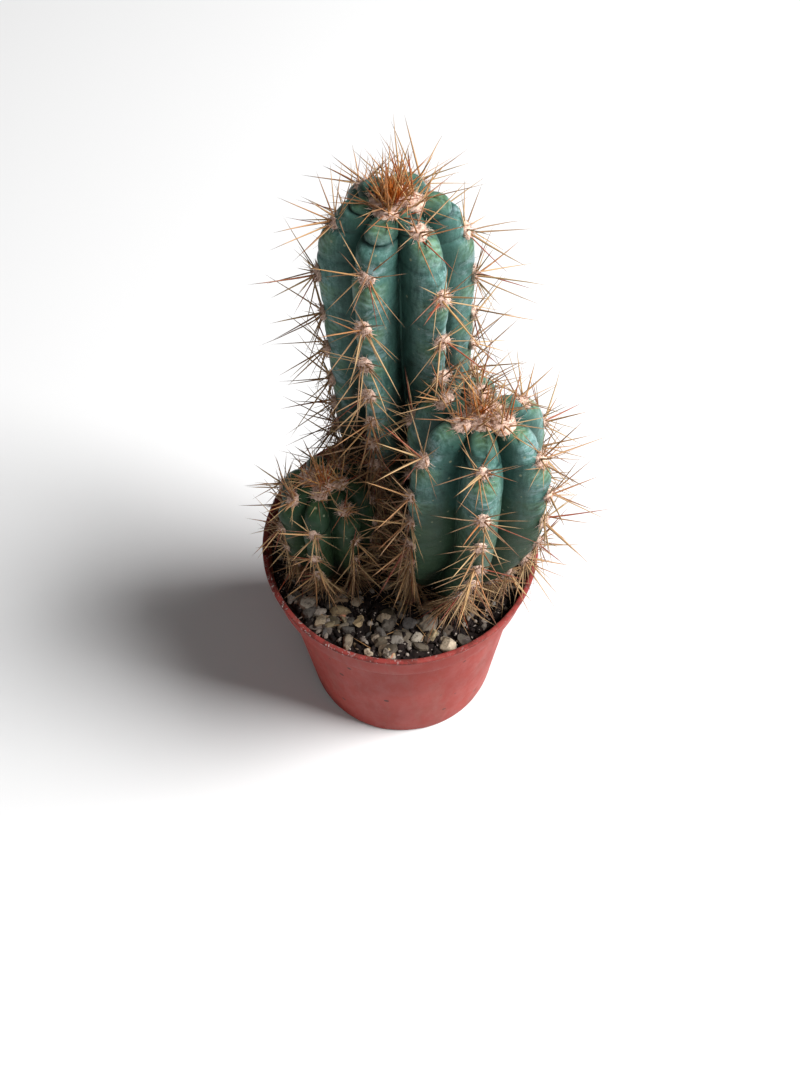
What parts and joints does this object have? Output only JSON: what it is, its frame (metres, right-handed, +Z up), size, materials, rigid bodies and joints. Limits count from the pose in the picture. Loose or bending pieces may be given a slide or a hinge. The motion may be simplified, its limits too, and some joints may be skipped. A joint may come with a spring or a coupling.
{
  "type": "potted columnar cactus",
  "caption": "Ribbed blue-green column cactus with upright stems of different heights, woolly areoles and spines, in a tapered nursery pot of soil and gravel.",
  "frame": {"origin": "centre of the pot's foot, on the surface it stands on", "axes": "+Z up along the stems; -Y is the pictured front; +X is to the right seen from the front"},
  "size_m": [0.1226, 0.1195, 0.2538],
  "materials": {
    "pot_plastic": "thin moulded terracotta-coloured plastic, satin, brighter red at the lip, with lime scale and dark specks",
    "potting_soil": "near-black crumbly peat with pale grit",
    "blue_flesh": "waxy blue-green skin with a pale bloom, fine growth lines, pinkish felt areoles and amber spines",
    "green_flesh": "waxy dark green skin with pinkish felt areoles and straw-coloured spines",
    "spines": "smooth horny needles, orange-brown when new and straw-grey when old",
    "areole_felt": "short pinkish-beige felt",
    "gravel": "loose angular gravel in cream, tan, pinkish and grey, matte"
  },
  "bodies": {
    "root": {"pot": "pot_plastic", "soil": "potting_soil", "tall_stem": "blue_flesh", "middle_stem": "blue_flesh", "small_stem": "green_flesh", "stone_01": "gravel", "stone_02": "gravel", "stone_03": "gravel", "stone_04": "gravel", "stone_05": "gravel", "stone_06": "gravel", "stone_07": "gravel", "stone_08": "gravel", "stone_09": "gravel", "stone_10": "gravel", "stone_11": "gravel", "stone_12": "gravel", "stone_13": "gravel", "stone_14": "gravel", "stone_15": "gravel", "stone_16": "gravel", "stone_17": "gravel", "stone_18": "gravel"}
  },
  "joints": []
}
